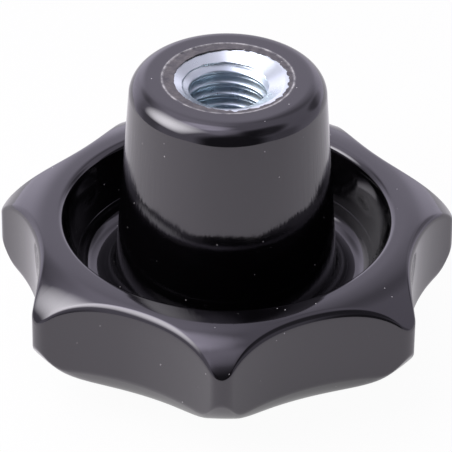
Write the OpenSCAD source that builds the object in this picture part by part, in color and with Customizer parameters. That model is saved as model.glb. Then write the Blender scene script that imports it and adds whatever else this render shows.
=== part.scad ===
// Star knob: a seven-lobed moulded head on a tapered hub, with a threaded steel bush moulded in.
// It stands on its domed face with the hub and the thread pointing up. Sizes in millimetres.

/* [Star head] */
// Diameter over the tips of the lobes
head_d = 63; // [62:1:70]
// Number of lobes
lobes = 7; // [6:1:8]
// Height of the head, from the resting flat to the top of its rim
head_h = 19.6; // [18.4:0.1:22]
// Depth of the scallops between the lobes
scallop_depth = 5.5; // [4:0.1:6]
// Rounding of a lobe's tip, seen from above
tip_r = 2.1; // [1.6:0.1:3]
// Radius of the domed face
dome_r = 72; // [66:1:90]
// Radius of the small flat in the middle of the dome
rest_r = 5; // [3:0.5:8]
// Radius of the bowl that carries the dome up to the lobe tips
bowl_r = 13; // [11:0.5:15]
// Slope of the bowl where it meets the lobe tips, in degrees
bowl_slope = 66; // [56:1:70]
// Height at which the upright walls of the scallops start
flare_z = 8.1; // [7:0.1:9]
// Radius of the flare under each scallop
flare_r = 14; // [10:0.5:16]
// Slope of the flare where it meets the scallop's wall, in degrees
flare_slope = 64; // [50:1:75]
// Radius of the roll-over from the rim down to the lobe tips
crown_r = 9.5; // [8.8:0.1:10.4]
// Distance from the lobe tips in to where the roll-over starts
crown_inset = 8.1; // [7.6:0.1:8.4]

/* [Recess] */
// Radius of the recess where its wall meets the top of the rim
recess_rim_r = 22.1; // [21:0.1:22.5]
// Depth of the recess below the top of the rim, at the bottom of its rounded channel
recess_depth = 9.4; // [7:0.1:10.2]
// Draft of the recess's outer wall, in degrees
recess_draft = 16.5; // [12:0.1:20]
// Rounding of the recess's rim
rim_r = 1; // [0.6:0.1:1.2]

/* [Hub] */
// Height of the hub's end face above the resting flat
hub_h = 41; // [38:0.5:46]
// Radius of the hub's end before its edge is rounded
hub_end_r = 12.9; // [12.6:0.1:13.2]
// Draft of the hub's side, in degrees
hub_draft = 4.1; // [2:0.1:5]
// Rounding of the hub's end
hub_edge_r = 2.6; // [2:0.1:3.2]

/* [Threaded bush] */
// Core radius of the M12 thread
thread_core_r = 5.1; // [5.06:0.01:5.2]
// Full length of the thread's wall below the countersink
thread_length = 24; // [18:0.5:25]
// Radius of the countersunk mouth
mouth_r = 7.5; // [6.6:0.1:7.7]
// Included angle of the countersink, in degrees
mouth_angle = 120; // [90:1:130]
// Included angle of the drill's point at the blind end, in degrees
drill_angle = 118; // [110:1:130]
// Radius of the flat that the drill's web leaves at the blind end
drill_web_r = 0.6; // [0.4:0.1:1]
// Outer radius of the bush's collar
bush_r = 8.7; // [8.7:0.1:9.2]
// Length of the bush
bush_length = 30; // [29.5:0.5:32]
// Length of the plain collar at the mouth
collar_length = 3; // [2:0.5:5]
// Radius over the tips of the knurls
knurl_r = 8.5; // [8.2:0.1:8.6]
// Depth of the knurls
knurl_depth = 0.5; // [0.3:0.05:0.7]
// Number of teeth round a knurl
knurl_teeth = 32; // [24:1:40]
// Length of each knurled band
knurl_length = 9; // [7:0.5:10]
// Length of the retaining groove between the knurled bands
groove_length = 3; // [2:0.5:4]
// Depth of the retaining groove
groove_depth = 1.2; // [0.8:0.1:1.4]
// Thickness of the moulding's film over the end of the bush
film_t = 0.2; // [0.1:0.05:0.3]

/* [Hidden] */
$fn = 96;
// Steps in the small and the large rounded stretches
edge_steps = 6;
bowl_steps = 8;
// How far a cutting shape runs past the face it opens
cut_past = 1;
// Slope at which a flare runs out straight under the dome, steeper than the dome itself
flare_run_out = 25;
// A tip's rounding stops this far short of where the scallop's wall would take it over
tip_margin = 5;
phenolic_black = [0.07, 0.065, 0.07];
zinc_plate = [0.78, 0.80, 0.83];

head_r = head_d / 2;
lobe_step = 360 / lobes;

// Points along an arc about [x, y], from angle a to angle b; skip = 1 leaves its first point out
function arc(x, y, r, a, b, steps, skip = 0) =
    [for (i = [skip:steps]) let (t = a + (b - a) * i / steps) [x + r * cos(t), y + r * sin(t)]];

// A scallop is an upright cylinder whose wall is tangent to the rounded tips on both sides
tip_centre = head_r - tip_r;
scallop_floor = head_r - scallop_depth;
tip_reach = tip_centre * cos(lobe_step / 2);
scallop_r = (pow(tip_r, 2) - pow(tip_centre, 2) - pow(scallop_floor, 2) + 2 * scallop_floor * tip_reach)
    / (2 * (scallop_floor - tip_reach - tip_r));
scallop_centre = scallop_floor + scallop_r;
tip_half_angle = atan2(scallop_centre * sin(lobe_step / 2),
    scallop_centre * cos(lobe_step / 2) - tip_centre) - tip_margin;
tips = [for (k = [0:lobes - 1], p = arc(tip_centre, 0, tip_r, -tip_half_angle, tip_half_angle, bowl_steps))
    let (t = k * lobe_step - 90)
    [p.x * cos(t) - p.y * sin(t), p.x * sin(t) + p.y * cos(t)]];

// Section of the dome: a sphere that a flat cuts off, then the bowl, tangent to it
dome_centre = sqrt(pow(dome_r, 2) - pow(rest_r, 2));
dome_start = asin(rest_r / dome_r);
bowl_centre = head_r - bowl_r * sin(bowl_slope);
dome_end = asin(bowl_centre / (dome_r - bowl_r));
bowl_z = dome_centre - (dome_r - bowl_r) * cos(dome_end);

// Section of the rim: the roll-over, the flat top and the rounded rim of the recess
crown_centre = head_r - crown_inset;
crown_end = acos(crown_inset / crown_r);
rim_reach = rim_r * tan((90 - recess_draft) / 2);

// The recess's bottom is one round channel, tangent to the outer wall and to the hub's side
floor_z = head_h - recess_depth;
outer_foot = recess_rim_r - recess_depth * tan(recess_draft);
hub_foot = hub_end_r + (hub_h - floor_z) * tan(hub_draft);
channel_r = (outer_foot - hub_foot)
    / (1 / cos(recess_draft) - tan(recess_draft) + 1 / cos(hub_draft) - tan(hub_draft));
channel_centre = hub_foot + channel_r * (1 / cos(hub_draft) - tan(hub_draft));
hub_reach = hub_edge_r * tan((90 - hub_draft) / 2);

section = concat(
    [[0, 0]],
    arc(0, dome_centre, dome_r, dome_start - 90, dome_end - 90, bowl_steps),
    arc(bowl_centre, bowl_z, bowl_r, dome_end - 90, bowl_slope - 90, bowl_steps, skip = 1),
    arc(crown_centre, head_h - crown_r, crown_r, crown_end, 90, bowl_steps),
    arc(recess_rim_r + rim_reach, head_h - rim_r, rim_r, 90, 180 - recess_draft, edge_steps),
    arc(channel_centre, floor_z + channel_r, channel_r, -recess_draft, hub_draft - 180, bowl_steps),
    arc(hub_end_r - hub_reach, hub_h - hub_edge_r, hub_edge_r, hub_draft, 90, edge_steps),
    [[0, hub_h]]);

// Section of the cutter that makes a scallop: an upright wall with a flare under it
flare_centre = scallop_r + flare_r * sin(flare_slope);
flare_bottom = flare_z + flare_r * (cos(flare_slope) - cos(flare_run_out));
flare_end = flare_centre - flare_r * sin(flare_run_out);
run_out = (flare_bottom + cut_past) / tan(flare_run_out);
cutter_section = concat(
    [[0, head_h + cut_past], [scallop_r, head_h + cut_past]],
    arc(flare_centre, flare_z + flare_r * cos(flare_slope), flare_r, 270 - flare_slope,
        270 - flare_run_out, edge_steps),
    [[flare_end + run_out, -cut_past], [0, -cut_past]]);

// Depths of the bush's features, measured down from its mouth
mouth_depth = (mouth_r - thread_core_r) / tan(mouth_angle / 2);
point_depth = (thread_core_r - drill_web_r) / tan(drill_angle / 2);
bore_depth = mouth_depth + thread_length;
bush_top = hub_h - film_t;
first_knurl = collar_length + knurl_length;
second_knurl = first_knurl + groove_length + knurl_length;

// One knurled length, hanging down from z = 0: a ring of shallow V teeth
module knurl(length) {
    tooth = 180 / knurl_teeth;
    corners = [for (i = [0:2 * knurl_teeth - 1])
        (knurl_r - (i % 2) * knurl_depth) * [cos(i * tooth), sin(i * tooth)]];
    translate([0, 0, -length])
        linear_extrude(length)
            polygon(corners);
}

// Outside of the bush, hanging down from its mouth at z = 0
module bush_outside() {
    translate([0, 0, -collar_length])
        cylinder(h = collar_length, r = bush_r);
    translate([0, 0, -collar_length])
        knurl(knurl_length);
    translate([0, 0, -first_knurl - groove_length])
        cylinder(h = groove_length, r = bush_r - groove_depth);
    translate([0, 0, -first_knurl - groove_length])
        knurl(knurl_length);
    translate([0, 0, -bush_length])
        cylinder(h = bush_length - second_knurl, r = bush_r - groove_depth);
}

// The solid of the moulding before its scallops and its bush: the turned section, rounded at the tips
module turned_blank() {
    intersection() {
        rotate_extrude()
            polygon(section);
        translate([0, 0, -cut_past])
            linear_extrude(hub_h + 2 * cut_past)
                polygon(tips);
    }
}

// The blank with its scallops cut one after another, each midway between two lobes
module scalloped_blank(cuts = lobes) {
    if (cuts == 0)
        turned_blank();
    else
        difference() {
            scalloped_blank(cuts - 1);
            rotate([0, 0, (cuts - 0.5) * lobe_step - 90])
                translate([scallop_centre, 0, 0])
                    rotate_extrude()
                        polygon(cutter_section);
        }
}

// The moulding: lobed head, recess and hub in one piece, with the film over the end of the bush
module knob_body() {
    color(phenolic_black)
        difference() {
            scalloped_blank();
            translate([0, 0, bush_top])
                bush_outside();
            translate([0, 0, bush_top - cut_past])
                cylinder(h = film_t + 2 * cut_past, r = mouth_r);
        }
}

// The insert: countersunk mouth, blind bore and knurled outside
module threaded_bush() {
    color(zinc_plate)
        translate([0, 0, bush_top])
            difference() {
                bush_outside();
                translate([0, 0, -bore_depth])
                    cylinder(h = bore_depth + cut_past, r = thread_core_r);
                translate([0, 0, -mouth_depth])
                    cylinder(h = mouth_depth, r1 = thread_core_r, r2 = mouth_r);
                translate([0, 0, -bore_depth - point_depth])
                    cylinder(h = point_depth, r1 = drill_web_r, r2 = thread_core_r);
            }
}

knob_body();
threaded_bush();
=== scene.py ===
# %% [markdown]
# # A moulded star knob with a threaded steel bush
#
# This lesson dresses a seven-lobed star knob. Such a knob is pressed from a glossy black
# phenolic resin round a turned steel bush, and screws onto a threaded stud of a jig or a machine.
# It stands here on its domed face, so the hub and the thread point up.
#
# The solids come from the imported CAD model. We load it first, and measure the overall sizes on it.

import math

import bmesh
import bpy
import numpy as np
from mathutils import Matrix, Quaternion, Vector


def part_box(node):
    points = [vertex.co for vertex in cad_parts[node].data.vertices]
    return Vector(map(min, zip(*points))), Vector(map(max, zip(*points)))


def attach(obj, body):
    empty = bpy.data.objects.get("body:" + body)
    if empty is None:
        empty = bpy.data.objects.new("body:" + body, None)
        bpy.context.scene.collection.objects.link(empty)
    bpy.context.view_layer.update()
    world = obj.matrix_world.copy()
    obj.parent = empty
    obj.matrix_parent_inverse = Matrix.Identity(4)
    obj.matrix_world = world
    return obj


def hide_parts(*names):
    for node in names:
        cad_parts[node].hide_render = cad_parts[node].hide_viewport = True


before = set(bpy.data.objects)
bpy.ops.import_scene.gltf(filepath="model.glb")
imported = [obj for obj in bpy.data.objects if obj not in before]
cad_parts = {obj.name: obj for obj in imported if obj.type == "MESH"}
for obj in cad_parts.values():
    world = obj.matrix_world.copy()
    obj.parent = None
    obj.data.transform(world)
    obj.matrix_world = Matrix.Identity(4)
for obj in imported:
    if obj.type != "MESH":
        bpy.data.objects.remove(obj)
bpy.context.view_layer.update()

# %% [markdown]
# ## Sizes
#
# Blender works in metres, but a small moulding is easier to think about in millimetres. Shapes are
# worked out in millimetres, and one function turns them into metres when the mesh is made.
# The overall sizes are measured from the frame, so that the looks follow the solids.

# %% Overall sizes, in millimetres
MM = 0.001
body_low, body_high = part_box("knob_body")
bush_low, bush_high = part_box("threaded_bush")
HEAD_R = -body_low.y / MM
HUB_TOP = body_high.z / MM
BUSH_TOP = bush_high.z / MM
BUSH_LENGTH = (bush_high.z - bush_low.z) / MM
COLLAR_R = bush_high.x / MM
print(f"head radius {HEAD_R:.2f}, hub top {HUB_TOP:.2f}, bush {COLLAR_R:.2f} x {BUSH_LENGTH:.2f} mm")

# %% [markdown]
# A box can't tell how deep a scallop is or how steep a wall. Those sizes are written here once, with
# the values that the CAD model was drawn with. Lengths are in millimetres. The drafts, by which the
# walls of a moulding lean so that it leaves its mould, are in degrees.

# %% Sizes of the head, the recess and the hub
LOBES = 7
HEAD_H = 19.6
SCALLOP_FLOOR_R = HEAD_R - 5.5
TIP_R = 2.1
CROWN_R = 9.5
CROWN_START = HEAD_R - 8.1
EDGE_R = 1.4
DOME_R = 72.0
REST_R = 5.0
BOWL_R = 13.0
BOWL_SLOPE = math.radians(66)
FLARE_Z = 8.1
FLARE_R = 14.0
FLARE_SLOPE = math.radians(64)
FLARE_RUN_OUT = math.radians(25)
RECESS_R = 22.1
RECESS_FLOOR = 10.2
RECESS_DRAFT = 16.5
RIM_R = 1.0
HUB_END_R = 12.9
HUB_DRAFT = 4.1
HUB_EDGE_R = 2.6
print(f"{LOBES} lobes, {HEAD_R - SCALLOP_FLOOR_R:.1f} mm deep, on a head {HEAD_H} mm high")

# %% [markdown]
# ## Helpers for surfaces on a grid
#
# Both pieces are closed surfaces worked out on a grid: rows run along a section, and columns run
# round the axis. The section could be drawn as a curve and spun with a Screw modifier, but then every
# ring would be a true circle. numpy computes the whole grid at once, so a ring may also follow the
# lobes, wander like a broken edge, or climb like a thread.

# %% Arcs, steps and rings
def arc(x, z, radius, start, end, count):
    """Points on the circle of a radius about (x, z): x + r cos t, z + r sin t, t in degrees."""
    t = np.radians(np.linspace(start, end, count))
    return np.stack([x + radius * np.cos(t), z + radius * np.sin(t)], axis=-1)


def fillet_reach(radius, draft):
    """How far a fillet's end lies from the corner between a flat and a wall that leans by draft."""
    return radius * math.tan(math.radians(90 - draft) / 2)


def shares(count):
    """Evenly spaced numbers between 0 and 1, both left out, as a column: one for each ring."""
    return np.linspace(0, 1, count + 2)[1:-1, None]


def soft_step(distance, width):
    """Goes from 0 to 1 where a distance passes zero: 1 / (1 + e to the power of -distance / width)."""
    return 1 / (1 + np.exp(-distance / width))


def hump(distance, width):
    """A bell that is 1 at distance zero: e to the power of -(distance / width) squared."""
    return np.exp(-(distance / width) ** 2)


def around(angle, radius, height):
    """Rings of points about the axis: x is r cos a, y is r sin a, and each has its height."""
    x, y = radius * np.cos(angle), radius * np.sin(angle)
    return np.stack([x, y, height * np.ones_like(x)], axis=-1)

# %% [markdown]
# A mesh takes its points, and then the corners of its faces by number. Point number r times columns
# plus c is column c of ring r, so the corners of every quad come from plain arithmetic. At each end
# of the section, a fan of triangles runs to one point on the axis and closes the surface.

# %% Faces and meshes
def ring_faces(rows, columns):
    """Corners of the quads between each two neighbouring rings of points, closed round the axis."""
    row, column = np.meshgrid(np.arange(rows - 1), np.arange(columns), indexing="ij")
    after = (column + 1) % columns
    quads = [row * columns + column, (row + 1) * columns + column,
             (row + 1) * columns + after, row * columns + after]
    return np.stack(quads, axis=-1).reshape(-1, 4)


def fan_faces(pole, ring_start, columns, opens_grid):
    """Triangles between a pole and a ring, turned to face outwards at the grid's start or its end."""
    here = ring_start + np.arange(columns)
    after = ring_start + (np.arange(columns) + 1) % columns
    tip = np.full(columns, pole)
    return np.stack([tip, here, after] if opens_grid else [here, tip, after], axis=-1)


def mesh_from_faces(name, points, quads, triangles):
    """A smooth mesh from points in millimetres and from the corners of its quads and triangles."""
    loops = np.concatenate([quads.ravel(), triangles.ravel()])
    sizes = np.concatenate([np.full(len(quads), 4), np.full(len(triangles), 3)])
    mesh = bpy.data.meshes.new(name)
    mesh.vertices.add(len(points))
    mesh.vertices.foreach_set("co", (points * MM).ravel())
    mesh.loops.add(len(loops))
    mesh.loops.foreach_set("vertex_index", loops)
    mesh.polygons.add(len(sizes))
    mesh.polygons.foreach_set("loop_start", np.cumsum(sizes) - sizes)
    mesh.polygons.foreach_set("use_smooth", np.ones(len(sizes), bool))
    mesh.update(calc_edges=True)
    return mesh


def closed_mesh(name, rings, first_pole, last_pole):
    """A mesh of rings (rows, columns, 3) in millimetres, closed by a fan of triangles at each pole."""
    rows, columns = rings.shape[:2]
    count = rows * columns
    points = np.concatenate([rings.reshape(-1, 3), [first_pole, last_pole]])
    fans = [fan_faces(count, 0, columns, True), fan_faces(count + 1, count - columns, columns, False)]
    return mesh_from_faces(name, points, ring_faces(rows, columns), np.concatenate(fans))


def add_piece(name, mesh, node):
    """Puts a mesh into the scene as a piece that stands for a CAD node and rides with it."""
    piece = bpy.data.objects.new(name, mesh)
    bpy.context.scene.collection.objects.link(piece)
    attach(piece, "root")
    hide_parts(node)
    triangles = sum(len(face.vertices) - 2 for face in mesh.polygons)
    print(f"{name}: {len(mesh.vertices)} points, {triangles} triangles")

# %% [markdown]
# ## The lobed outline
#
# Seen from above, a lobe is a small round tip, and the hollow between two lobes is an arc of a large
# circle that meets the tips smoothly. So one lobe needs two circles, and the rest is repetition.
# Boolean cuts in a turned blank would give the same outline, but their long thin faces show as
# streaks on gloss. Instead the columns of the grid stand where the outline bends, and crowd at the
# tips, where it bends most.

# %% The outline of one lobe, then of the whole head
HALF_LOBE = math.pi / LOBES
tip_centre = HEAD_R - TIP_R
reach = tip_centre * math.cos(HALF_LOBE)
scallop_r = ((TIP_R ** 2 - tip_centre ** 2 - SCALLOP_FLOOR_R ** 2 + 2 * SCALLOP_FLOOR_R * reach)
             / (2 * (SCALLOP_FLOOR_R - reach - TIP_R)))
scallop_centre = SCALLOP_FLOOR_R + scallop_r
centre_x, centre_y = scallop_centre * math.cos(HALF_LOBE), scallop_centre * math.sin(HALF_LOBE)
tip_angle = math.atan2(centre_y, centre_x - tip_centre)


def half_lobe(tip_steps=14, scallop_steps=20):
    """From a lobe's middle to the middle of its hollow: first the tip's circle, then the hollow's.
    Gives the points and the directions that the outline faces."""
    facing_tip = np.linspace(0, tip_angle, tip_steps, endpoint=False)
    tip = np.stack([tip_centre + TIP_R * np.cos(facing_tip), TIP_R * np.sin(facing_tip)], axis=-1)
    facing_hollow = np.linspace(tip_angle, HALF_LOBE, scallop_steps)
    hollow = np.stack([centre_x - scallop_r * np.cos(facing_hollow),
                       centre_y - scallop_r * np.sin(facing_hollow)], axis=-1)
    return np.concatenate([tip, hollow]), np.concatenate([facing_tip, facing_hollow])


half_points, half_facing = half_lobe()
half_azimuth = np.arctan2(half_points[:, 1], half_points[:, 0])
half_radius = np.hypot(half_points[:, 0], half_points[:, 1])
half_turn = half_facing - half_azimuth
lobe_azimuth = np.concatenate([-half_azimuth[:0:-1], half_azimuth[:-1]])
lobe_radius = np.concatenate([half_radius[:0:-1], half_radius[:-1]])
lobe_turn = np.concatenate([half_turn[:0:-1], half_turn[:-1]])
AZIMUTH = np.concatenate([lobe_azimuth + 2 * HALF_LOBE * k - math.pi / 2 for k in range(LOBES)])
OUTLINE = np.tile(lobe_radius, LOBES)
TURN = np.cos(np.tile(lobe_turn, LOBES))
print(f"{len(AZIMUTH)} columns, hollow radius {scallop_r:.2f} mm, "
      f"tip half angle {math.degrees(tip_angle):.1f}")

# %% [markdown]
# ## The end of the hub and its film of resin
#
# The hub, its end and the recess were turned into the mould, so they are one section spun round the
# axis. It starts in the pocket that holds the bush. A thin film of resin creeps over the end of the
# bush while the part is pressed, and breaks off unevenly round the countersink. A clean hole would
# look machined, so the edge is a circle a little off the axis with small chips, one ragged stretch
# and one notch. A thin raised line, the witness of a joint in the mould, runs round the film.

# %% The film's broken edge
WITNESS_R = COLLAR_R
FILM_CIRCLE_R = 7.55
FILM_OFF_AXIS = 0.52
FILM_TOWARD = math.radians(-31)
FILM_LEAST_R = 6.6
FILM_MOST_R = WITNESS_R - 0.3
CHIP_DEPTH = 0.09
CHIP_WAVES = np.array([23, 37, 41, 59, 71, 83, 97])
RAGGED_AT, RAGGED_SPREAD, RAGGED_LEAST = -0.25, 0.9, 0.25
NOTCH_AT, NOTCH_WIDTH, NOTCH_DEPTH = math.radians(-83), 0.045, 0.42


def smooth_noise(angle, seed, waves, fall=0.8):
    """A sum of sines round the axis, with whole numbers of waves so that it closes. Each wave is
    weaker than the one before, and the sum is scaled to about 1."""
    rng = np.random.default_rng(seed)
    phase = rng.uniform(0, 2 * np.pi, len(waves))
    weight = 1 / (1 + np.arange(len(waves))) ** fall
    total = (weight[:, None] * np.sin(np.outer(waves, angle) + phase[:, None])).sum(axis=0)
    return total / np.sqrt((weight ** 2).sum() / 2)


def film_edge(angle):
    """Distance from the axis to the film's broken edge: a circle about a point off the axis, with
    chips that deepen on one side, and a notch."""
    offset = angle - FILM_TOWARD
    off_axis = FILM_OFF_AXIS * np.cos(offset)
    circle = off_axis + np.sqrt(FILM_CIRCLE_R ** 2 - (FILM_OFF_AXIS * np.sin(offset)) ** 2)
    ragged = RAGGED_LEAST + (1 - RAGGED_LEAST) * hump(np.cos(angle - RAGGED_AT) - 1, RAGGED_SPREAD)
    chips = CHIP_DEPTH * ragged * smooth_noise(angle, 11, CHIP_WAVES)
    from_notch = np.angle(np.exp(1j * (angle - NOTCH_AT)))
    notch = NOTCH_DEPTH * hump(from_notch, NOTCH_WIDTH)
    return np.clip(circle + chips + notch, FILM_LEAST_R, FILM_MOST_R)


edge_radius = film_edge(AZIMUTH)
print(f"film's edge {edge_radius.min():.2f} to {edge_radius.max():.2f} mm from the axis")

# %% [markdown]
# The film is sunk a little below the rest of the hub's end. Rings that lie close together keep a
# corner crisp where the surface is drawn smooth. A few of them round the lip of the film: each lies at
# a small share of the way out to the witness line, and is lifted by a larger share of the film's
# thickness. More of them draw the witness line.

# %% Rings of the pocket, the film and the hub's end
POCKET_R = COLLAR_R - 0.05
POCKET_FLOOR = BUSH_TOP - BUSH_LENGTH
CRISP = 0.01
FILM_SUNK = 0.05
FILM_STEP = 0.05
WITNESS_H = 0.04
WITNESS_WIDTH = 0.13
LIP_SHARE = [0, 0, 0.004, 0.02, 0.06]
LIP_LIFT = [0, 0.4, 0.8, 0.95, 1.0]
FILM_RINGS = 14
FILM_END_R = WITNESS_R - 0.32
WITNESS_START_R = WITNESS_R - 0.28
WITNESS_END_R = WITNESS_R + 0.4
FLAT_START_R = WITNESS_R + 0.6


def hub_top_height(radius):
    """Height of the hub's end: flat, with the film sunk a little inside a thin raised witness line."""
    ridge = WITNESS_H * hump(radius - WITNESS_R, WITNESS_WIDTH)
    sunk = FILM_SUNK * soft_step(WITNESS_R - radius, FILM_STEP)
    return HUB_TOP + ridge - sunk - WITNESS_H


pocket = np.array([[POCKET_R / 2, POCKET_FLOOR], [POCKET_R, POCKET_FLOOR],
                   [POCKET_R, POCKET_FLOOR + CRISP], [POCKET_R, BUSH_TOP - CRISP],
                   [POCKET_R, BUSH_TOP]])
pocket_rows = around(AZIMUTH, pocket[:, :1], pocket[:, 1:])

film_share = np.concatenate([LIP_SHARE, np.linspace(0.12, 1, FILM_RINGS)])[:, None]
film_lift = np.concatenate([LIP_LIFT, np.ones(FILM_RINGS)])[:, None]
film_radius = edge_radius + (FILM_END_R - edge_radius) * film_share
film_height = BUSH_TOP + (hub_top_height(film_radius) - BUSH_TOP) * film_lift
film_rows = around(AZIMUTH, film_radius, film_height)

hub_reach = fillet_reach(HUB_EDGE_R, HUB_DRAFT)
witness_radius = np.linspace(WITNESS_START_R, WITNESS_END_R, 13)
flat_radius = np.linspace(FLAT_START_R, HUB_END_R - hub_reach, 5, endpoint=False)
end_radius = np.concatenate([witness_radius, flat_radius])
hub_end = np.stack([end_radius, hub_top_height(end_radius)], axis=-1)
print(f"{len(pocket_rows)} rings in the pocket, {len(film_rows)} on the film, {len(hub_end)} round it")

# %% [markdown]
# ## The hub's side and the recess
#
# From its rounded end the hub widens a little on its way down. The recess's bottom is one round
# channel that touches both the hub's side and the outer wall. Where two parts of the mould meet, low
# on that wall, they leave a fine step. A Bevel modifier could round the rim, but an arc in the
# section does it with fewer faces and follows the lean of the wall exactly.

# %% The section from the hub's rounded edge to the rim of the recess
PARTING_AT = 0.09
PARTING_STEP = 0.06
PARTING_SPAN = 0.012


def stepped_wall(start, end, count):
    """The recess's wall: a straight line between two points, with a fine step out near its foot, laid
    over a small share of the wall's length. Extra rings draw the step."""
    step = PARTING_AT + np.linspace(-PARTING_SPAN, PARTING_SPAN, 7)[:, None]
    share = np.sort(np.concatenate([shares(count), step]), axis=0)
    wall = start * (1 - share) + end * share
    wall[:, :1] += PARTING_STEP * soft_step(share - PARTING_AT, PARTING_SPAN / 4)
    return wall


hub_edge = arc(HUB_END_R - hub_reach, hub_top_height(HUB_END_R) - HUB_EDGE_R, HUB_EDGE_R,
               90, HUB_DRAFT, count=22)
hub_lean, wall_lean = math.radians(HUB_DRAFT), math.radians(RECESS_DRAFT)
hub_foot = HUB_END_R + (HUB_TOP - RECESS_FLOOR) * math.tan(hub_lean)
outer_foot = RECESS_R - (HEAD_H - RECESS_FLOOR) * math.tan(wall_lean)
hub_share = 1 / math.cos(hub_lean) - math.tan(hub_lean)
channel_r = (outer_foot - hub_foot) / (hub_share + 1 / math.cos(wall_lean) - math.tan(wall_lean))
channel = arc(hub_foot + channel_r * hub_share, RECESS_FLOOR + channel_r, channel_r,
              HUB_DRAFT - 180, -RECESS_DRAFT, count=34)
side_share = shares(8)
hub_wall = hub_edge[-1] * (1 - side_share) + channel[0] * side_share

rim_reach = fillet_reach(RIM_R, RECESS_DRAFT)
rim = arc(RECESS_R + rim_reach, HEAD_H - RIM_R, RIM_R, 180 - RECESS_DRAFT, 90, count=12)
recess_wall = stepped_wall(channel[-1], rim[0] - np.array([PARTING_STEP, 0]), count=14)

section = np.concatenate([hub_end, hub_edge, hub_wall, channel, recess_wall, rim])
round_rows = around(AZIMUTH, section[:, :1], section[:, 1:])
print(f"channel radius {channel_r:.2f} mm, {len(round_rows)} rings in the section")

# %% [markdown]
# ## The lobed parts: crown, wall and underside
#
# The top of the head rolls over towards the tips, and the hollows are cut straight down through it.
# Where the roll-over meets the upright wall, the mould has a small fillet. The underside is a wide
# dome that turns up steeply at the tips, and each hollow flares out under its wall. The dome and the
# flare are both surfaces of revolution, about different axes, so the real underside is the higher of
# the two at each place. A soft maximum of the two heights gives the same with a smooth join.

# %% Heights of the crown and the underside
UNDER_BLEND = 0.9
crown_z = HEAD_H - CROWN_R
dome_centre = math.sqrt(DOME_R ** 2 - REST_R ** 2)
bowl_x = HEAD_R - BOWL_R * math.sin(BOWL_SLOPE)
bowl_z = dome_centre - math.sqrt((DOME_R - BOWL_R) ** 2 - bowl_x ** 2)
bowl_join = DOME_R * bowl_x / (DOME_R - BOWL_R)
flare_x = FLARE_R * math.sin(FLARE_SLOPE)
flare_z = FLARE_Z + FLARE_R * math.cos(FLARE_SLOPE)


def crown_height(radius):
    """Flat out to the start of the roll-over, then a circle's arc."""
    over = np.clip(radius - CROWN_START, 0, CROWN_R)
    return crown_z + np.sqrt(CROWN_R ** 2 - over ** 2)


def dome_height(radius):
    """A sphere about the axis, cut by the resting flat, then the bowl's tighter arc up to the tips."""
    sphere = dome_centre - np.sqrt(DOME_R ** 2 - np.maximum(radius, REST_R) ** 2)
    over = np.clip(radius - bowl_x, -BOWL_R, BOWL_R)
    bowl = bowl_z - np.sqrt(BOWL_R ** 2 - over ** 2)
    return np.where(radius > bowl_join, bowl, sphere)


def flare_height(x, y):
    """Height of the flare under the nearest hollow, from the distance in from the hollow's wall: a
    circle's arc that starts steep, then a straight slope that runs out under the dome."""
    azimuth = np.arctan2(y, x) + math.pi / 2
    within = np.abs((azimuth + HALF_LOBE) % (2 * HALF_LOBE) - HALF_LOBE)
    radius = np.hypot(x, y)
    from_centre = np.hypot(radius * np.cos(within) - centre_x, radius * np.sin(within) - centre_y)
    over = flare_x - (from_centre - scallop_r)
    run_out_at = FLARE_R * math.sin(FLARE_RUN_OUT)
    curved = flare_z - np.sqrt(FLARE_R ** 2 - np.clip(over, run_out_at, flare_x) ** 2)
    return curved - np.maximum(run_out_at - over, 0) * math.tan(FLARE_RUN_OUT)


def soft_max(a, b, blend):
    """The larger of two heights, rounded over where they are within about blend of each other."""
    gap = np.maximum(blend - np.abs(a - b), 0)
    return np.maximum(a, b) + gap ** 2 / (4 * blend)


def underside(radius):
    """Height of the underside at each radius along each column."""
    x, y = radius * np.cos(AZIMUTH), radius * np.sin(AZIMUTH)
    return soft_max(dome_height(radius), flare_height(x, y), UNDER_BLEND)


print(f"dome centre {dome_centre:.1f} mm up, bowl starts {bowl_join:.1f} mm from the axis")

# %% [markdown]
# The fillets at the top and the bottom of the wall are laid in each column's own upright plane. Where
# the wall faces sideways to that plane, a round fillet looks stretched in it, so its reach inward is
# divided by the cosine of that turn. A steep roll-over leaves less of a corner, so the fillet is
# shorter there too, and it never takes more than four fifths of the roll-over. The rings of the
# underside crowd towards the tips, where it curves.

# %% Rings of the crown, the wall and the underside
EDGE_MOST = 0.8
LOWER_R = 1.7
LOWER_SLOPE = math.radians(62)
UNDER_CROWDING = 0.75

crown_slope = np.arcsin(np.clip((OUTLINE - CROWN_START) / CROWN_R, 0, 1))
edge_tangent = EDGE_R * np.tan((math.pi / 2 - crown_slope) / 2)
edge_in = edge_tangent * np.cos(crown_slope) / TURN
edge_in = np.minimum(edge_in, EDGE_MOST * (OUTLINE - CROWN_START))

crown_share = np.linspace(0, 1, 14)[1:, None]
crown_radius = rim[-1, 0] + (OUTLINE - edge_in - rim[-1, 0]) * crown_share
crown_rows_z = crown_height(crown_radius)

edge_turn = np.linspace(0, math.pi / 2, 13)[1:, None]
edge_radius_rows = OUTLINE - edge_in * (1 - np.sin(edge_turn))
edge_rows_z = crown_height(edge_radius_rows) - edge_tangent * (1 - np.cos(edge_turn))

low_in = LOWER_R * (1 - math.sin(LOWER_SLOPE)) / TURN
lower_turn = np.linspace(0, math.pi / 2 - LOWER_SLOPE, 8)[:, None]
lower_radius = OUTLINE - LOWER_R * (1 - np.cos(lower_turn)) / TURN
lower_z = underside(OUTLINE - low_in) + LOWER_R * (math.cos(LOWER_SLOPE) - np.sin(lower_turn))

wall_share = shares(7)
wall_z = edge_rows_z[-1] * (1 - wall_share) + lower_z[0] * wall_share
wall_radius = OUTLINE * np.ones_like(wall_share)

under_radius = (OUTLINE - low_in) * (1 - shares(36)) ** UNDER_CROWDING
under_z = underside(under_radius)

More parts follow.
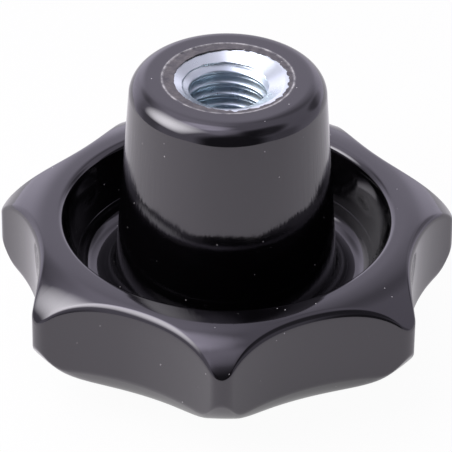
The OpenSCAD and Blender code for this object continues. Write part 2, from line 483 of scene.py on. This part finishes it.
lobed_radius = np.concatenate([crown_radius, edge_radius_rows, wall_radius, lower_radius, under_radius])
lobed_z = np.concatenate([crown_rows_z, edge_rows_z, wall_z, lower_z, under_z])
lobed_rows = around(AZIMUTH, lobed_radius, lobed_z)

body_rings = np.concatenate([pocket_rows, film_rows, round_rows, lobed_rows])
body_mesh = closed_mesh("knob_moulding", body_rings, [0, 0, POCKET_FLOOR], [0, 0, 0])
add_piece("knob_moulding", body_mesh, "knob_body")

# %% [markdown]
# The finish of the moulding isn't the same everywhere: the film round the bush is dull and mottled,
# the witness line round it is pale, partly chalky resin and partly a painted highlight of its rounded
# edge, and the hub's side carries fine upright drag marks from leaving the mould. Separate materials
# would change with a hard edge, so three attributes on the mesh say how much of each finish a point
# has, and one material reads them. The drag marks also reach a ring of the underside that lies as far
# from the axis, where they aren't seen.

# %% Where the film, the witness line and the drag marks are
FILM_INSIDE, FILM_FADE = 0.1, 0.06
DRAG_START, DRAG_FADE = 0.1, 0.4
TOP_MARGIN = 0.3
SIDE_MARGIN = 0.5

body_points = body_rings.reshape(-1, 3)
from_axis = np.hypot(body_points[:, 0], body_points[:, 1])
on_top = body_points[:, 2] > BUSH_TOP - TOP_MARGIN
on_film = np.where(on_top, soft_step(WITNESS_R - FILM_INSIDE - from_axis, FILM_FADE), 0)
on_witness = np.where(on_top, hump(from_axis - WITNESS_R, WITNESS_WIDTH), 0)
past_edge = np.clip((from_axis - HUB_END_R - DRAG_START) / DRAG_FADE, 0, 1)
on_side = np.where(from_axis < hub_foot + SIDE_MARGIN, past_edge, 0)


def set_attribute(mesh, name, values):
    """Stores one number a point, and nought for the two poles."""
    attribute = mesh.attributes.new(name, "FLOAT", "POINT")
    attribute.data.foreach_set("value", np.concatenate([values, [0, 0]]).astype(np.float32))


for name, values in (("film", on_film), ("drag", on_side), ("witness", on_witness)):
    set_attribute(body_mesh, name, values)
    print(f"{name}: {int((values > 0.5).sum())} points")

# %% [markdown]
# ## The threaded bush
#
# The bush was turned from bar, countersunk, and tapped M12 with a pitch of 1.75 mm. A Screw modifier
# could wind a thread, but it would end in open steps. A tap cuts one helical groove, so the rings of
# this grid are not level: they climb by one pitch in a turn, and the end of one ring meets the start
# of another. Where the grid rises past the mouth or falls past the end of the thread, its points are
# held at that height, so they close up into plain circles.

# %% Sizes of the bush, in millimetres
PITCH = 1.75
CORE_R = 5.1
MAJOR_R = 6.05
CREST_WIDTH = 1 / 4
ROOT_WIDTH = 1 / 8
THREAD_DEPTH = 22.0
MOUTH_R = 7.5
MOUTH_SLOPE = math.tan(math.radians(60))
MOUTH_DEPTH = (MOUTH_R - CORE_R) / MOUTH_SLOPE
BORE_DEPTH = MOUTH_DEPTH + 24.0
DRILL_WEB_R = 0.6
POINT_DEPTH = (CORE_R - DRILL_WEB_R) / math.tan(math.radians(59))
KNURL_R = 8.5
KNURL_DEPTH = 0.5
KNURL_TEETH = 32
COLLAR_LENGTH = 3.0
COLLAR_CHAMFER = 0.15
KNURL_LENGTH = 9.0
GROOVE_LENGTH = 3.0
GROOVE_R = COLLAR_R - 1.2
THREAD_END = BUSH_TOP - MOUTH_DEPTH - THREAD_DEPTH
BUSH_COLUMNS = 4 * KNURL_TEETH
BUSH_ANGLE = 2 * np.pi * np.arange(BUSH_COLUMNS) / BUSH_COLUMNS
print(f"thread from {BUSH_TOP - MOUTH_DEPTH:.2f} down to {THREAD_END:.2f} mm, mouth {MOUTH_DEPTH:.2f} deep")

# %% [markdown]
# One pitch of the thread is a flat crest, a flank, a narrow root and a flank back. The countersink is
# a cone. Wherever the cone is wider than the thread it has cut the thread away, so the surface lies
# at the larger radius of the two. How far below the thread's end the helix starts, in pitches, turns
# it round the axis, and so sets where the groove runs out into the mouth. It goes on for a turn more
# than its height needs, because a ring's end meets the ring one pitch up.

# %% The thread, the cone and the helical grid
ROWS_A_PITCH = 24
HELIX_START = 1.17
SEAM_MARGIN = 1.2


def thread_radius(phase):
    """Radius across one pitch, phase 0 to 1: half a crest, a flank, the root in the middle, and back.
    An equal share of a sine wave is mixed in, and rounds the corners as wear and plating do."""
    away = np.abs(phase - 0.5)
    flank = (1 - CREST_WIDTH - ROOT_WIDTH) / 2
    straight = np.clip(((1 - CREST_WIDTH) / 2 - away) / flank, 0, 1)
    wave = (1 + np.cos(2 * np.pi * away)) / 2
    return CORE_R + (MAJOR_R - CORE_R) * (straight + wave) / 2


def mouth_cone(height):
    """Radius of the countersink at a height: it opens from the bore at 60 degrees to the axis."""
    return CORE_R + np.maximum(height - (BUSH_TOP - MOUTH_DEPTH), 0) * MOUTH_SLOPE


def helical_rings():
    """Points of the tapped bore. Ring i climbs one pitch in a turn: z = start + pitch (i / n + turn),
    held between the thread's end and the mouth. The radius is the larger of thread and cone."""
    start = THREAD_END - HELIX_START * PITCH
    count = int(math.ceil((BUSH_TOP - start) / PITCH + SEAM_MARGIN)) * ROWS_A_PITCH
    ring = np.arange(count)[:, None]
    climb = start + PITCH * (ring / ROWS_A_PITCH + np.arange(BUSH_COLUMNS) / BUSH_COLUMNS)
    height = np.clip(climb, THREAD_END, BUSH_TOP)
    phase = (ring % ROWS_A_PITCH) / ROWS_A_PITCH
    fade = np.clip((height - THREAD_END) / PITCH, 0, 1)
    threaded = CORE_R + (thread_radius(phase) - CORE_R) * fade
    return around(BUSH_ANGLE, np.maximum(threaded, mouth_cone(height)), height)


def helical_faces(rows, columns):
    """Quads of the helical grid. The last column of a ring meets the first of the ring one pitch up."""
    row, column = np.meshgrid(np.arange(rows - 1), np.arange(columns), indexing="ij")
    seam = column == columns - 1
    after = np.where(seam, (row + ROWS_A_PITCH) * columns, row * columns + column + 1)
    keep = ~seam | (row + ROWS_A_PITCH < rows - 1)
    here = row * columns + column
    return np.stack([here, here + columns, after + columns, after], axis=-1)[keep]


thread_rings = helical_rings()
print(f"{len(thread_rings)} helical rings, {ROWS_A_PITCH} a pitch")

# %% [markdown]
# The rest of the bush is plain turning: the drill's cone at the blind end, the flat land round the
# countersink, and outside it the collar, two knurled bands with a groove between them that lock it
# into the resin, and a plain tail. Level rings do for those. The rings that meet the thread lie on
# the same points as its closed-up ends, so merging doubles joins the grids into one shell.

# %% The turned parts of the bush
def bush_rings(places, knurled):
    """Level rings. A knurled ring swings between tip and root as a triangle wave, once a tooth."""
    tooth = np.arange(BUSH_COLUMNS) * KNURL_TEETH / BUSH_COLUMNS
    sunk = 1 - 2 * np.abs(tooth % 1 - 0.5)
    radius = places[:, :1] - KNURL_DEPTH * np.array(knurled)[:, None] * sunk
    return around(BUSH_ANGLE, radius, places[:, 1:])


def down(depth):
    """Height of a place that lies a depth below the bush's mouth."""
    return BUSH_TOP - depth


def knurled_band(top):
    """The two ends of a knurled band that hangs down from a depth."""
    return [[KNURL_R, down(top)], [KNURL_R, down(top + KNURL_LENGTH)]]


first_end = COLLAR_LENGTH + KNURL_LENGTH
second_start = first_end + GROOVE_LENGTH
second_end = second_start + KNURL_LENGTH
blind_end = np.array([[DRILL_WEB_R, down(BORE_DEPTH + POINT_DEPTH)], [CORE_R, down(BORE_DEPTH)],
                      [CORE_R, THREAD_END]])
collar = [[MOUTH_R, BUSH_TOP], [COLLAR_R - COLLAR_CHAMFER, BUSH_TOP], [COLLAR_R, down(COLLAR_CHAMFER)],
          [COLLAR_R, down(COLLAR_LENGTH)]]
groove = [[GROOVE_R, down(first_end)], [GROOVE_R, down(second_start)]]
tail = [[GROOVE_R, down(second_end)], [GROOVE_R, down(BUSH_LENGTH)], [GROOVE_R / 2, down(BUSH_LENGTH)]]
outside = np.array(collar + knurled_band(COLLAR_LENGTH) + groove + knurled_band(second_start) + tail)

blind_rings = bush_rings(blind_end, [0, 0, 0])
outer_rings = bush_rings(outside, [0, 0, 0, 0, 1, 1, 0, 0, 1, 1, 0, 0, 0])
print(f"{len(blind_rings)} rings at the blind end, {len(outer_rings)} on the outside")

# %% [markdown]
# The three grids go into one mesh. Each keeps its own faces, with its point numbers moved on past the
# grids before it. Then points that coincide are merged, in the moulding too, and edges that bend by
# more than 35 degrees are kept sharp in the shading.

# %% Join the grids into one closed bush
SHARP_ANGLE = math.radians(35)

grids = [blind_rings, thread_rings, outer_rings]
starts = np.cumsum([0] + [grid.shape[0] * BUSH_COLUMNS for grid in grids])
poles = np.array([[0, 0, blind_end[0, 1]], [0, 0, down(BUSH_LENGTH)]])
bush_points = np.concatenate([grid.reshape(-1, 3) for grid in grids] + [poles])
bush_quads = np.concatenate([ring_faces(len(blind_rings), BUSH_COLUMNS) + starts[0],
                             helical_faces(len(thread_rings), BUSH_COLUMNS) + starts[1],
                             ring_faces(len(outer_rings), BUSH_COLUMNS) + starts[2]])
bush_fans = np.concatenate([fan_faces(starts[3], 0, BUSH_COLUMNS, True),
                            fan_faces(starts[3] + 1, starts[3] - BUSH_COLUMNS, BUSH_COLUMNS, False)])
bush_mesh = mesh_from_faces("threaded_insert", bush_points, bush_quads, bush_fans)


def merge_doubles(mesh, distance=1e-8):
    """Joins points that coincide, which also removes the faces that have closed up."""
    work = bmesh.new()
    work.from_mesh(mesh)
    bmesh.ops.remove_doubles(work, verts=work.verts, dist=distance)
    bmesh.ops.dissolve_degenerate(work, edges=work.edges, dist=distance)
    open_edges = sum(not edge.is_manifold for edge in work.edges)
    volume = work.calc_volume(signed=True) / MM ** 3
    work.to_mesh(mesh)
    work.free()
    print(f"{mesh.name}: volume {volume:.0f} cubic mm, {open_edges} open edges")


merge_doubles(bush_mesh)
merge_doubles(body_mesh)
add_piece("threaded_insert", bush_mesh, "threaded_bush")
for mesh in (body_mesh, bush_mesh):
    mesh.polygons.foreach_set("use_smooth", np.ones(len(mesh.polygons), bool))
    mesh.set_sharp_from_angle(angle=SHARP_ANGLE)

# %% [markdown]
# ## Finishes
#
# A finish is a small tree of nodes. Noise on Object coordinates, which are metres here, varies the
# colour, the roughness and a fine bump, and needs no unwrapping as an image would. A number that is
# the same everywhere is typed straight into the shader's own socket. Each helper below adds one node
# and gives back the output that the next node needs.

# %% Helpers for node trees
MICRON = 1e-6


def feed(tree, socket, value):
    """Links another node's output to a socket, or types a number, a vector or a colour into it."""
    if isinstance(value, bpy.types.NodeSocket):
        tree.links.new(value, socket)
    elif socket.type == "RGBA":
        socket.default_value = (*value, 1)
    else:
        socket.default_value = value


def add_node(tree, kind, inputs=(), **settings):
    """Adds a node, sets its own settings, and feeds its inputs, each called by name or by number."""
    made = tree.nodes.new(kind)
    for key, value in settings.items():
        setattr(made, key, value)
    for key, value in dict(inputs).items():
        feed(tree, made.inputs[key], value)
    return made


def math_node(tree, operation, *values):
    """One step of arithmetic on numbers or on other nodes' outputs."""
    return add_node(tree, "ShaderNodeMath", enumerate(values), operation=operation).outputs[0]


def range_node(tree, value, start, end, first, last, **settings):
    """Maps a value that runs from start to end onto the numbers from first to last."""
    inputs = {"Value": value, "From Min": start, "From Max": end, "To Min": first, "To Max": last}
    return add_node(tree, "ShaderNodeMapRange", inputs, **settings).outputs["Result"]


class Finish:
    """A material with one Principled shader, and short ways to add what feeds it."""

    def __init__(self, name, flat_colour):
        self.material = bpy.data.materials.new(name)
        self.material.use_nodes = True
        self.material.diffuse_color = (*flat_colour, 1)
        self.tree = self.material.node_tree
        self.tree.nodes.clear()
        self.shader = add_node(self.tree, "ShaderNodeBsdfPrincipled")
        add_node(self.tree, "ShaderNodeOutputMaterial", {"Surface": self.shader.outputs["BSDF"]})
        self.place = add_node(self.tree, "ShaderNodeTexCoord").outputs["Object"]

    def attribute(self, name):
        """A number that is stored in the mesh."""
        return add_node(self.tree, "ShaderNodeAttribute", attribute_name=name).outputs["Fac"]

    def noise(self, scale, detail, roughness=0.55, at=None):
        """Noise on Object coordinates or at another place; the scale counts features a metre."""
        inputs = {"Vector": at or self.place, "Scale": scale, "Detail": detail, "Roughness": roughness}
        return add_node(self.tree, "ShaderNodeTexNoise", inputs).outputs["Fac"]

    def spread(self, value, first, last, start=0.0, end=1.0):
        """Maps a number from one range to another."""
        return range_node(self.tree, value, start, end, first, last)

    def mix(self, data_type, kind, amount, first, second):
        """A value between two, by an amount. A Mix node has sockets of each kind under one name."""
        made = add_node(self.tree, "ShaderNodeMix", {"Factor": amount}, data_type=data_type)
        for name, value in (("A", first), ("B", second)):
            socket = [s for s in made.inputs if s.name == name and s.type == kind][0]
            feed(self.tree, socket, value)
        return [s for s in made.outputs if s.type == kind][0]

    def mix_colours(self, amount, first, second):
        """A colour between two, by an amount."""
        return self.mix("RGBA", "RGBA", amount, first, second)

    def mix_numbers(self, amount, first, second):
        """A number between two, by an amount."""
        return self.mix("FLOAT", "VALUE", amount, first, second)

    def bump(self, height, distance, after=None):
        """A bump from a height, laid over an earlier one if there is one."""
        inputs = {"Strength": 1.0, "Distance": distance, "Height": height}
        if after:
            inputs["Normal"] = after
        return add_node(self.tree, "ShaderNodeBump", inputs).outputs["Normal"]

# %% [markdown]
# ### Black phenolic
# Pressed phenolic has a deep black body and a hard gloss skin, so nearly all that is seen on it is
# reflection. A plain glossy black would look like glass. Here slow waves come from shrinkage, a faint
# haze from handling comes and goes, and tiny dust specks lie on the skin: one cell in ten of a
# one-millimetre mosaic has one. The `film` attribute turns the gloss into a dull, mottled brown-grey,
# `witness` lays a pale line round it, partly chalky resin and partly a painted highlight of the raised
# line's edge, and `drag` lets upright scratches through on the hub's side.

# %% The phenolic's colour
phenolic = Finish("black_phenolic_finish", (0.01, 0.01, 0.011))
film = phenolic.attribute("film")
drag = phenolic.attribute("drag")
witness = phenolic.attribute("witness")

cloud = phenolic.noise(scale=90, detail=3.0)
mottle = phenolic.noise(scale=900, detail=5.0)
blotch = phenolic.spread(mottle, 0.0, 1.0, start=0.35, end=0.65)
resin_colour = phenolic.mix_colours(cloud, (0.0008, 0.0007, 0.0009), (0.0020, 0.0018, 0.0022))
film_colour = phenolic.mix_colours(blotch, (0.009, 0.008, 0.007), (0.072, 0.065, 0.059))
# The pale line on the witness ridge is partly chalky resin and partly a painted highlight of its edge.
chalky_and_painted_highlight = phenolic.mix_colours(blotch, (0.06, 0.06, 0.06), (0.48, 0.47, 0.45))

cells = add_node(phenolic.tree, "ShaderNodeTexVoronoi", {"Vector": phenolic.place, "Scale": 1000})
speck = phenolic.spread(cells.outputs["Distance"], 1.0, 0.0, start=0.06, end=0.11)
chance = add_node(phenolic.tree, "ShaderNodeSeparateColor", {"Color": cells.outputs["Color"]})
one_in_ten = phenolic.spread(chance.outputs["Red"], 0.0, 1.0, start=0.9, end=0.91)
dust = math_node(phenolic.tree, "MULTIPLY", speck, one_in_ten)

skin_colour = phenolic.mix_colours(film, resin_colour, film_colour)
skin_colour = phenolic.mix_colours(witness, skin_colour, chalky_and_painted_highlight)
skin_colour = phenolic.mix_colours(dust, skin_colour, (0.42, 0.41, 0.40))
feed(phenolic.tree, phenolic.shader.inputs["Base Color"], skin_colour)
print("nodes for the phenolic's colour:", len(phenolic.tree.nodes))

# %% [markdown]
# Gloss is mostly how sharp and how strong a reflection is. The roughness carries the haze and the
# dullness of the film, and the index of refraction, the same all over, sets the strength. Three bumps
# lie one over the other: the waves, then the scratches, then the grit of the film.

# %% The phenolic's gloss and bumps
handled = phenolic.noise(scale=220, detail=8.0, roughness=0.72)
gloss = phenolic.spread(handled, 0.04, 0.11, start=0.36, end=0.66)
dull = phenolic.spread(mottle, 0.32, 0.55)
feed(phenolic.tree, phenolic.shader.inputs["Roughness"], phenolic.mix_numbers(film, gloss, dull))
phenolic.shader.inputs["IOR"].default_value = 1.85
phenolic.shader.inputs["Specular Tint"].default_value = (0.97, 0.94, 1.0, 1)

stretched = add_node(phenolic.tree, "ShaderNodeMapping",
                     {"Vector": phenolic.place, "Scale": (1.0, 1.0, 0.04)})
streaks = phenolic.noise(scale=2600, detail=3.0, at=stretched.outputs["Vector"])
waves = phenolic.bump(phenolic.noise(scale=160, detail=1.5), 20 * MICRON)
scratches = phenolic.bump(phenolic.mix_numbers(drag, 0.5, streaks), 28 * MICRON, after=waves)
grains = phenolic.noise(scale=2500, detail=4.0)
grit = phenolic.bump(phenolic.mix_numbers(film, 0.5, grains), 60 * MICRON, after=scratches)
feed(phenolic.tree, phenolic.shader.inputs["Normal"], grit)
body_mesh.materials.append(phenolic.material)
print("phenolic nodes:", len(phenolic.tree.nodes))

# %% [markdown]
# ### Zinc-plated steel
#
# The bush was turned, so its marks run round the axis. Anisotropy could stretch its highlights, but
# real marks differ from ring to ring. Noise whose only coordinate is the distance from the axis gives
# such rings. The plating is bright with a cold blue cast, and a little cloudy; from 1.3 to 2 mm below
# the mouth it turns to a darker colour, which it keeps down the thread.

# %% The zinc's node tree
THREAD_COLOUR_FROM, THREAD_COLOUR_FULL = 1.3, 2.0

zinc = Finish("zinc_plate_finish", (0.72, 0.77, 0.83))
split = add_node(zinc.tree, "ShaderNodeSeparateXYZ", {"Vector": zinc.place}).outputs
flat = add_node(zinc.tree, "ShaderNodeCombineXYZ", {"X": split["X"], "Y": split["Y"]})
distance = add_node(zinc.tree, "ShaderNodeVectorMath", {0: flat.outputs[0]}, operation="LENGTH")
ring_place = add_node(zinc.tree, "ShaderNodeCombineXYZ", {"X": distance.outputs["Value"]})
turning = zinc.noise(scale=9000, detail=3.0, at=ring_place.outputs[0])

clouds = zinc.noise(scale=300, detail=3.0)
plate_colour = zinc.mix_colours(clouds, (0.68, 0.75, 0.78), (0.82, 0.88, 0.90))
thread_colour = zinc.mix_colours(clouds, (0.50, 0.58, 0.65), (0.70, 0.78, 0.84))
sunk = zinc.spread(split["Z"], 1.0, 0.0, start=down(THREAD_COLOUR_FULL) * MM,
                   end=down(THREAD_COLOUR_FROM) * MM)
feed(zinc.tree, zinc.shader.inputs["Base Color"], zinc.mix_colours(sunk, plate_colour, thread_colour))
zinc.shader.inputs["Metallic"].default_value = 1.0
feed(zinc.tree, zinc.shader.inputs["Roughness"], zinc.spread(clouds, 0.22, 0.36))
turned = zinc.bump(turning, 8 * MICRON)
feed(zinc.tree, zinc.shader.inputs["Normal"], zinc.bump(clouds, 6 * MICRON, after=turned))
bush_mesh.materials.append(zinc.material)
print("zinc nodes:", len(zinc.tree.nodes))

# %% [markdown]
# ## Camera
#
# A long lens half a metre away looks down on the knob at about 34 degrees, which keeps the circles
# nearly true ellipses. The camera is placed by its direction from a point on the axis near the height
# of the rim, and rolled by a fraction of a degree. A Track To constraint would aim it too, but one
# rotation worked out here is easier to read back.

# %% The camera
AIM = np.array([0.0, 0.0, 18.45]) * MM
CAMERA_AZIMUTH = 0.68
CAMERA_ELEVATION = 34.2
CAMERA_ROLL = 0.7
CAMERA_DISTANCE = 0.510


def facing(azimuth, elevation):
    """The unit vector towards a direction; azimuth 0 is the front and 90 the right, in degrees."""
    azimuth, elevation = math.radians(azimuth), math.radians(elevation)
    return np.array([math.sin(azimuth) * math.cos(elevation), -math.cos(azimuth) * math.cos(elevation),
                     math.sin(elevation)])


away = facing(CAMERA_AZIMUTH, CAMERA_ELEVATION)
camera_data = bpy.data.cameras.new("camera")
camera_data.sensor_width = 36.0
camera_data.lens = 302.5
camera_data.clip_start = 0.01
camera_data.clip_end = 20.0
camera_data.shift_x = -0.0010
camera_data.shift_y = -0.0133
camera = bpy.data.objects.new("camera", camera_data)
bpy.context.scene.collection.objects.link(camera)
camera.location = AIM + away * CAMERA_DISTANCE
roll = Quaternion((0, 0, 1), math.radians(CAMERA_ROLL))
camera.rotation_euler = (Vector(-away).to_track_quat("-Z", "Y") @ roll).to_euler()
bpy.context.scene.camera = camera
print("camera at", [round(c, 4) for c in camera.location])

# %% [markdown]
# ## Floor, studio and lights
#
# A gloss black object shows little but its surroundings, so the surroundings are the light. There is
# a pale table top, which ends just in front, a bright back, a soft box on the left, and a darker room
# behind the camera and on the right. To the camera the background is plain white; the floor keeps a
# small part of its own shading, so that the knob's soft shadow stays. The gloss sees half of it white.

# %% The floor
def floor_mesh(front, back, side, back_side):
    """A flat table top at the height of the resting face, wider behind the knob than beside it."""
    right = np.array([[side, -front, 0], [side, front / 2, 0],
                      [back_side, 2 * front, 0], [back_side, back, 0]])
    left = right[::-1] * [-1, 1, 1]
    quads = np.array([[0, 1, 6, 7], [1, 2, 5, 6], [2, 3, 4, 5]])
    return mesh_from_faces("floor", np.concatenate([right, left]) / MM, quads, np.zeros((0, 3), int))


def white_to_lens(tree, shaded, to_lens, to_gloss):
    """Mixes white light into a shader: one share for what the lens sees of it directly or through
    glass, another for what it sees of it in gloss or metal."""
    path = add_node(tree, "ShaderNodeLightPath").outputs
    amount = math_node(tree, "MULTIPLY", path["Is Camera Ray"], to_lens)
    amount = math_node(tree, "MULTIPLY_ADD", path["Is Glossy Ray"], to_gloss, amount)
    amount = math_node(tree, "MULTIPLY_ADD", path["Is Transmission Ray"], to_lens, amount)
    white = add_node(tree, "ShaderNodeEmission").outputs[0]
    return add_node(tree, "ShaderNodeMixShader", {"Fac": amount, 1: shaded, 2: white}).outputs[0]


floor = bpy.data.objects.new("floor", floor_mesh(front=0.112, back=1.2, side=0.11, back_side=0.3))
bpy.context.scene.collection.objects.link(floor)
floor_material = bpy.data.materials.new("floor_white")
floor_material.use_nodes = True
floor_tree = floor_material.node_tree
floor_tree.nodes.clear()
paper = add_node(floor_tree, "ShaderNodeBsdfPrincipled",
                 {"Base Color": (0.70, 0.66, 0.69), "Roughness": 0.22})
whitened = white_to_lens(floor_tree, paper.outputs[0], to_lens=0.96, to_gloss=0.5)
add_node(floor_tree, "ShaderNodeOutputMaterial", {"Surface": whitened})
floor.data.materials.append(floor_material)
print("floor nodes:", len(floor_tree.nodes))

# %% [markdown]
# A picture of a studio, wrapped round the world, would light the knob too. Here the world gives each
# direction its own level instead, where 1 is white, so that every part of the room can be set by
# itself. Shades multiply the level and glows add to it. Each is a round patch of directions: the dot
# product with its middle says how far inside one is. Directions below the horizon count as level.

# %% The surroundings
world = bpy.data.worlds.new("studio")
bpy.context.scene.world = world
world.use_nodes = True
room = world.node_tree
room.nodes.clear()

# Each row: azimuth, elevation, angles where the patch is full and where it ends, and its level.
SHADES = ((6, 6, 26, 46, 0.1),  # the room behind the camera
          (50, 42, 13, 29, 0.2),  # upper right
          (24, 50, 8, 24, 0.5),  # high in front, on the right
          (60, -2, 10, 30, 0.6),  # low on the right
          (-94, 6, 6, 20, 0.6),  # low on the left
          (126, 18, 8, 18, 0.4),  # the gap on the right of the back wall
          (152, 46, 6, 22, 0.65),  # above the back wall, on the right
          (-142, 40, 4, 15, 0.6))  # above the back wall, on the left
GLOWS = ((180, 30, 12, 34, 0.34),  # the back wall
         (-148, 4, 8, 36, 0.7),  # low on the left of the back wall
         (148, 2, 6, 30, 0.55),  # low on the right of the back wall
         (-80, 76, 3, 20, 1.8),  # overhead, on the left
         (-138, 62, 4, 24, 0.6),  # high at the back, on the left
         (-16, 64, 4, 22, 0.6))  # high in front

axes = add_node(room, "ShaderNodeSeparateXYZ",
                {0: add_node(room, "ShaderNodeTexCoord").outputs["Generated"]}).outputs
above = math_node(room, "MAXIMUM", axes["Z"], 0.0)
raised = add_node(room, "ShaderNodeCombineXYZ", {"X": axes["X"], "Y": axes["Y"], "Z": above})
toward = add_node(room, "ShaderNodeVectorMath", {0: raised.outputs[0]}, operation="NORMALIZE")


def change(value, start, end, first, last):
    """A smooth change from one number to another while a value runs from start to end."""
    return range_node(room, value, start, end, first, last, interpolation_type="SMOOTHSTEP")


def patch(azimuth, elevation, inner, outer, outside, inside):
    """A number for each direction: one value within the inner angle of the patch's middle, another
    past the outer angle, and a smooth change between."""
    inputs = {0: toward.outputs[0], 1: facing(azimuth, elevation)}
    dot = add_node(room, "ShaderNodeVectorMath", inputs, operation="DOT_PRODUCT").outputs["Value"]
    start, end = math.cos(math.radians(outer)), math.cos(math.radians(inner))
    return change(dot, start, end, outside, inside)


level = change(axes["Z"], start=0.15, end=0.6, first=0.62, last=0.66)
for *place, inside in SHADES:
    level = math_node(room, "MULTIPLY", level, patch(*place, outside=1.0, inside=inside))
for *place, inside in GLOWS:
    level = math_node(room, "ADD", level, patch(*place, outside=0.0, inside=inside))
lit = add_node(room, "ShaderNodeBackground", {"Color": (0.99, 0.94, 1.12), "Strength": level})
plain = add_node(room, "ShaderNodeBackground", {"Color": (1, 1, 1)})
to_camera = add_node(room, "ShaderNodeLightPath").outputs["Is Camera Ray"]
choice = add_node(room, "ShaderNodeMixShader", {"Fac": to_camera, 1: lit.outputs[0], 2: plain.outputs[0]})
add_node(room, "ShaderNodeOutputWorld", {"Surface": choice.outputs[0]})
print(f"world nodes: {len(room.nodes)}, with {len(SHADES)} shades and {len(GLOWS)} glows")

# %% [markdown]
# The main lamp is a soft box close by on the left. Its face is brightest in the middle and fades out
# to its rim as real diffusing cloth does, so its mirror image on the gloss has no hard edge, as that
# of an even lamp would have. Standing so close, it also lights the left of the table more than the
# right.

# %% The soft box
def softbox(name, azimuth, elevation, distance, width, height, level):
    """A rectangular light that faces the knob from a direction. Its level is how bright the middle of
    its face looks, with 1 for white: for an even flat lamp, watts are pi times area times level. The
    fading is 16 u (1 - u) v (1 - v), with u and v running across the face."""
    data = bpy.data.lights.new(name, "AREA")
    data.shape = "RECTANGLE"
    data.size, data.size_y = width, height
    data.energy = math.pi * width * height * level
    data.use_nodes = True
    tree = data.node_tree
    face = add_node(tree, "ShaderNodeNewGeometry").outputs["Parametric"]
    across = add_node(tree, "ShaderNodeSeparateXYZ", {0: face}).outputs
    fading = 16.0
    for u in (across["X"], across["Y"]):
        share = math_node(tree, "MULTIPLY", u, math_node(tree, "SUBTRACT", 1.0, u))
        fading = math_node(tree, "MULTIPLY", share, fading)
    emission = [n for n in tree.nodes if n.type == "EMISSION"][0]
    feed(tree, emission.inputs["Strength"], fading)
    lamp = bpy.data.objects.new(name, data)
    bpy.context.scene.collection.objects.link(lamp)
    to_lamp = Vector(facing(azimuth, elevation))
    lamp.location = to_lamp * distance
    lamp.rotation_euler = (-to_lamp).to_track_quat("-Z", "Y").to_euler()
    print(f"{name}: {data.energy:.2f} W before its fading")


softbox("left_softbox", azimuth=-76, elevation=45, distance=0.19, width=0.20, height=0.18, level=6.4)

# %% [markdown]
# ## Finish
#
# The view is the plain Standard one.

# %% Finish
bpy.context.scene.view_settings.view_transform = "Standard"
